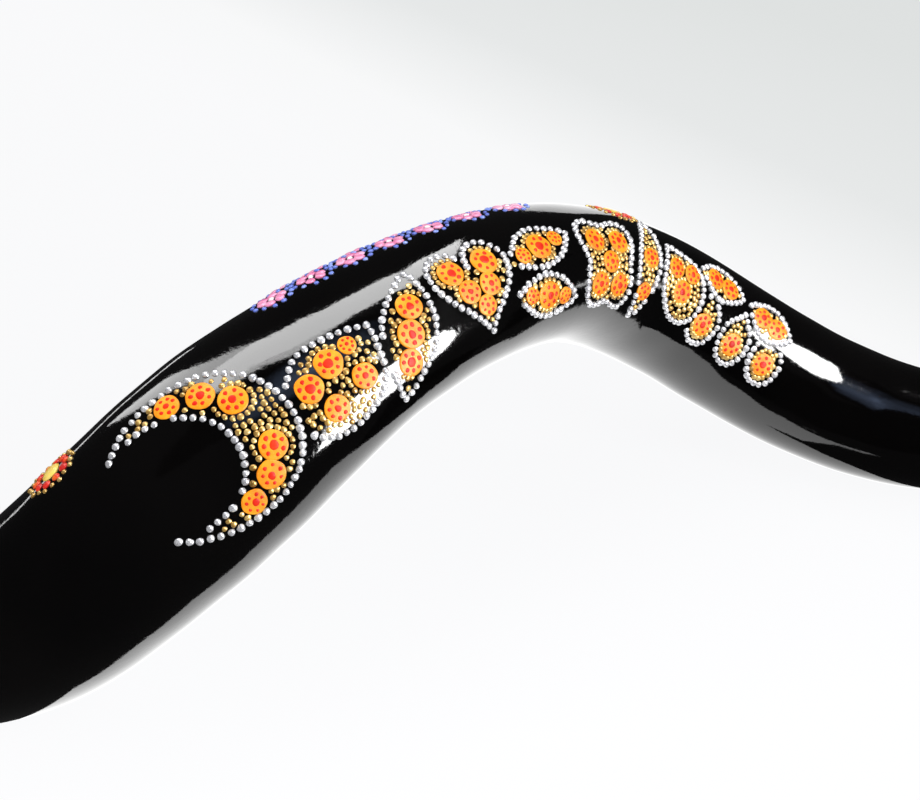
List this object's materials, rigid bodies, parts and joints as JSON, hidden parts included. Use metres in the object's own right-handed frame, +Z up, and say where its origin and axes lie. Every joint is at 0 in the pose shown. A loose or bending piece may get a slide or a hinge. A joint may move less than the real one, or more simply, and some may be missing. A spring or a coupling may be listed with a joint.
{
  "type": "painted spiral-horn shofar",
  "caption": "Long spiral animal-horn wind instrument with an open bell and a cupped mouthpiece, lacquered black and decorated with raised dots of paint.",
  "frame": {"origin": "centre of the bounding box, on the plane the horn rests on", "axes": "+X along the horn's length towards the mouthpiece, bell towards -X, +Z up; the decorated side faces -Y and up"},
  "size_m": [0.8506, 0.1539, 0.1367],
  "materials": {
    "black_lacquer": "deep gloss black lacquer over polished horn",
    "silver_paint": "raised metallic silver paint dots",
    "gold_paint": "raised metallic gold paint dots",
    "orange_paint": "thick glossy acrylic paint",
    "red_paint": "thick glossy acrylic paint",
    "pink_paint": "thick acrylic paint",
    "blue_paint": "thick acrylic paint",
    "white_paint": "thick acrylic paint",
    "yellow_paint": "thick acrylic paint"
  },
  "bodies": {
    "root": {"horn_body": "black_lacquer", "band_silver_beads": "silver_paint", "band_gold_beads": "gold_paint", "band_orange_discs": "orange_paint", "band_red_dots": "red_paint", "crest_pink_petals": "pink_paint", "crest_blue_beads": "blue_paint", "crest_white_beads": "white_paint", "sun_yellow_eyes": "yellow_paint", "sun_red_petals": "red_paint", "sun_gold_beads": "gold_paint"}
  },
  "joints": []
}
